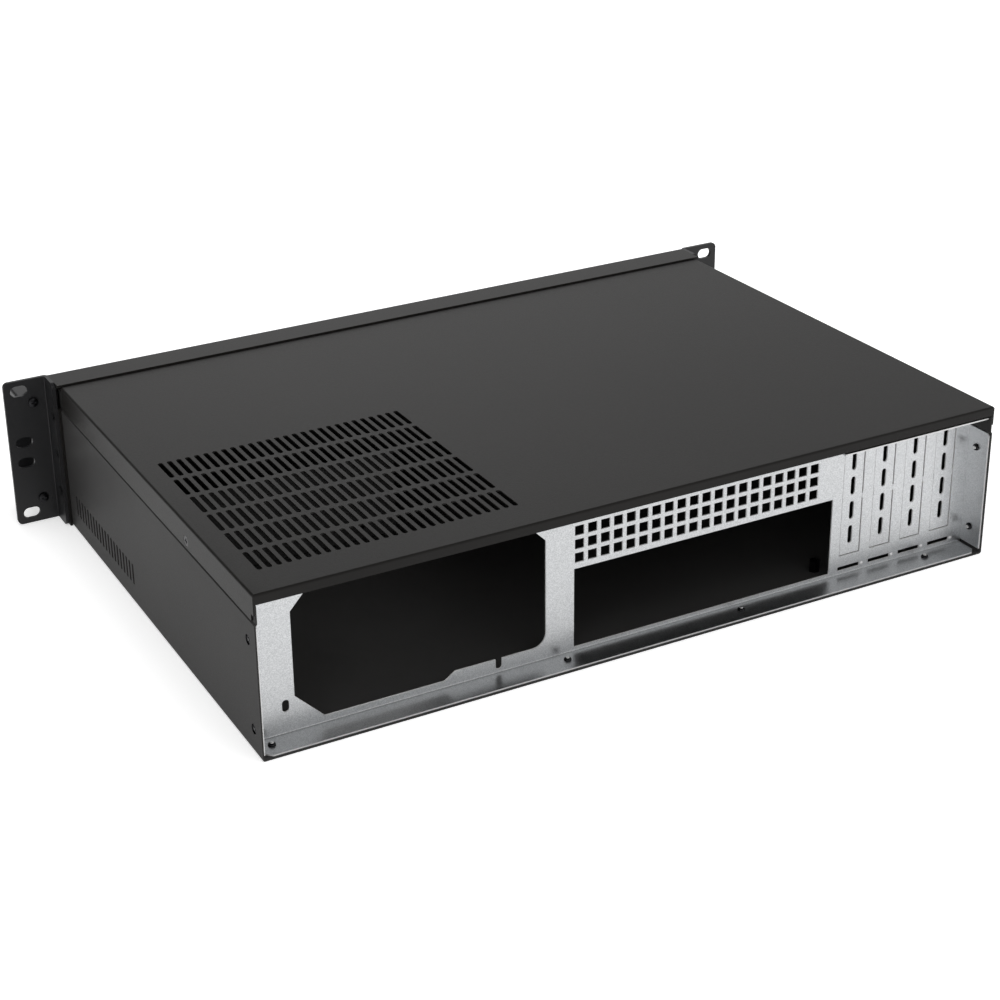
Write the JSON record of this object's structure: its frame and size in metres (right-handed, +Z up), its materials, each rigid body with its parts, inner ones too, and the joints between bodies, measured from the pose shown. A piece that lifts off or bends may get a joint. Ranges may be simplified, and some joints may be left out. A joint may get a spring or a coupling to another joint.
{
  "type": "rackmount server case",
  "caption": "Empty low rackmount server case: vented powder-coated cover and tray, bare rear panel with power supply, connector and card-slot openings, rack ears and pull handles",
  "frame": {"origin": "middle of the footprint of the whole case, handles included, at the underside of the floor", "axes": "+X to the power supply side, -Y out of the front panel, +Y out of the rear panel, +Z up"},
  "size_m": [0.4826, 0.333, 0.0886],
  "materials": {
    "case_coat": "matte warm-black powder coat on folded steel",
    "ear_coat": "satin black coat",
    "galvanised": "bare zinc-coated sheet with a fine spangle",
    "black_screw": "glossy black oxide",
    "zinc_screw": "zinc plated",
    "control_plastic": "black moulded plastic",
    "lens_clear": "clear moulded plastic",
    "port_metal": "bright plated sheet",
    "board_plastic": "black moulded plastic",
    "board_laminate": "green laminate"
  },
  "bodies": {
    "case": {"base_tray": "case_coat", "top_cover": "case_coat", "front_panel": "case_coat", "drive_cage": "case_coat", "board_bracket": "case_coat", "rear_panel": "galvanised", "ear_left": "ear_coat", "ear_right": "ear_coat", "handle_left": "ear_coat", "handle_right": "ear_coat", "handle_screws": "black_screw", "ear_screws": "black_screw", "cover_screws": "black_screw", "flange_rivets": "black_screw", "lip_rivets": "black_screw", "board_bracket_screws": "zinc_screw", "drive_cage_screws": "zinc_screw", "mainboard_standoffs": "black_screw", "power_lens": "lens_clear", "drive_lens": "lens_clear", "usb_ports": "port_metal", "port_tongues": "board_plastic", "switches": "board_plastic", "control_board": "board_laminate"},
    "power": {"power_button": "control_plastic"},
    "reset": {"reset_button": "control_plastic"}
  },
  "joints": [
    {"name": "power_press", "type": "slide", "parent": "case", "child": "power", "axis": [0, 1, 0], "range_m": [0, 0.0008], "stiffness_N_per_m": 1500},
    {"name": "reset_press", "type": "slide", "parent": "case", "child": "reset", "axis": [0, 1, 0], "range_m": [0, 0.0008], "stiffness_N_per_m": 1500}
  ]
}
